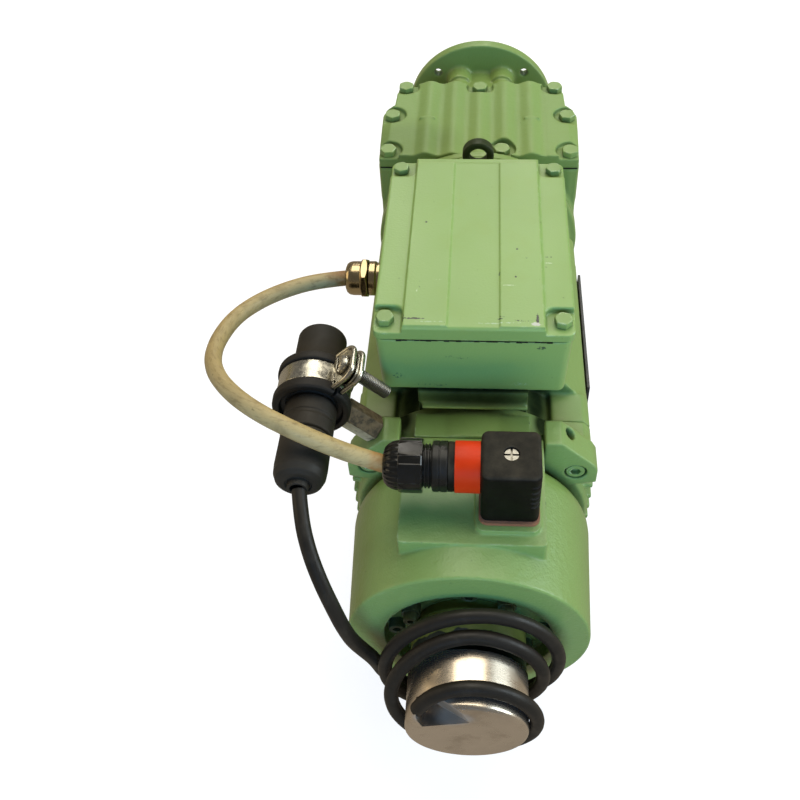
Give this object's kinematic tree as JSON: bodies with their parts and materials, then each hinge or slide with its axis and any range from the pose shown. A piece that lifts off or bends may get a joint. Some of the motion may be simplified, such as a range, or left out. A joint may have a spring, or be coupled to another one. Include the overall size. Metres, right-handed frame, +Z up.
{
  "type": "gear motor",
  "caption": "Gear motor with a round output flange and keyed shaft, finned brake motor, terminal box with lid, plug-in brake lead and a shaft encoder with its lead.",
  "frame": {"origin": "centre of the output flange's mounting face, on the output shaft's axis", "axes": "+Y along the output shaft, out of the flange; +Z up, through the terminal box's lid; +X to the right seen from the encoder"},
  "size_m": [0.2001, 0.5857, 0.1937],
  "materials": {
    "green_paint": "pale green satin paint over rough castings",
    "shaft_steel": "ground and machined steel",
    "bearing_steel": "ground bearing steel",
    "lamination_steel": "varnished electrical steel",
    "copper_winding": "varnished copper wire",
    "zinc_plated_steel": "zinc plated, a little weathered",
    "black_iron": "blackened forging",
    "nickel_brass": "nickel plated brass, satin",
    "bare_aluminium": "turned aluminium, dulled",
    "dark_anodised": "dark anodised aluminium",
    "plate_aluminium": "brushed aluminium, blank",
    "black_plastic": "moulded black plastic",
    "black_rubber": "moulded black rubber",
    "gasket": "flat gasket",
    "brown_gasket": "brown flat gasket",
    "grey_cable": "beige grey sheath, stained",
    "black_cable": "matte black sheath",
    "friction_lining": "pressed friction lining"
  },
  "bodies": {
    "housing": {"bearing_outer_races": "bearing_steel", "brake_cover": "green_paint", "brake_lead": "grey_cable", "brake_magnet": "lamination_steel", "brake_springs": "bearing_steel", "brake_studs": "bearing_steel", "clamp_band": "zinc_plated_steel", "clamp_rubber": "black_rubber", "clamp_screw_and_nut": "zinc_plated_steel", "connector_backshell": "black_plastic", "connector_body": "black_plastic", "connector_cap": "black_rubber", "cover_screws": "green_paint", "drive_end_shield": "green_paint", "encoder_base": "dark_anodised", "encoder_can": "bare_aluminium", "encoder_lead": "black_cable", "encoder_lead_coil": "black_cable", "end_cover_screws": "zinc_plated_steel", "gearcase": "green_paint", "gearcase_cover": "green_paint", "gland_body": "nickel_brass", "gland_nuts": "nickel_brass", "hex_spacer": "zinc_plated_steel", "joint_gaskets": "gasket", "lid_screws": "green_paint", "lifting_eye": "black_iron", "oil_plugs": "green_paint", "output_flange": "green_paint", "plug_gasket": "brown_gasket", "plug_gland_body": "black_plastic", "plug_gland_nut": "black_plastic", "plug_housing": "black_plastic", "plug_screw": "zinc_plated_steel", "plug_socket": "black_plastic", "rating_plate": "plate_aluminium", "rear_end_shield": "green_paint", "shaft_seals": "black_rubber", "socket_head_screws": "green_paint", "stator_core": "lamination_steel", "stator_housing": "green_paint", "stator_windings": "copper_winding", "terminal_board": "black_plastic", "terminal_box": "green_paint", "terminal_box_lid": "green_paint"},
    "rotor": {"rotor_shaft": "shaft_steel", "rotor_core": "lamination_steel", "rotor_bearing_inner_races": "bearing_steel", "motor_pinion": "shaft_steel", "brake_hub": "shaft_steel", "brake_disc": "friction_lining", "encoder_shaft": "shaft_steel"},
    "intermediate": {"pinion_shaft": "shaft_steel", "intermediate_gear": "shaft_steel", "pinion_shaft_inner_races": "bearing_steel"},
    "output": {"output_shaft": "shaft_steel", "output_gear": "shaft_steel", "output_gear_key": "shaft_steel", "output_bearing_inner_races": "bearing_steel"},
    "armature": {"brake_armature": "shaft_steel"}
  },
  "joints": [
    {"name": "rotor_spin", "type": "hinge", "parent": "housing", "child": "rotor", "pos_m": [0, 0, 0.0107], "axis": [0, 1, 0], "continuous": true},
    {"name": "intermediate_spin", "type": "hinge", "parent": "housing", "child": "intermediate", "pos_m": [-0.02773, 0, 0.03918], "axis": [0, 1, 0], "continuous": true},
    {"name": "output_spin", "type": "hinge", "parent": "housing", "child": "output", "pos_m": [0, 0, 0], "axis": [0, 1, 0], "continuous": true},
    {"name": "armature_slide", "type": "slide", "parent": "housing", "child": "armature", "axis": [0, -1, 0], "range_m": [0, 0.0004], "stiffness_N_per_m": 20000}
  ],
  "couplings": [
    {"joint": "intermediate_spin", "follows": "rotor_spin", "ratio": -0.325},
    {"joint": "output_spin", "follows": "rotor_spin", "ratio": 0.082843}
  ]
}
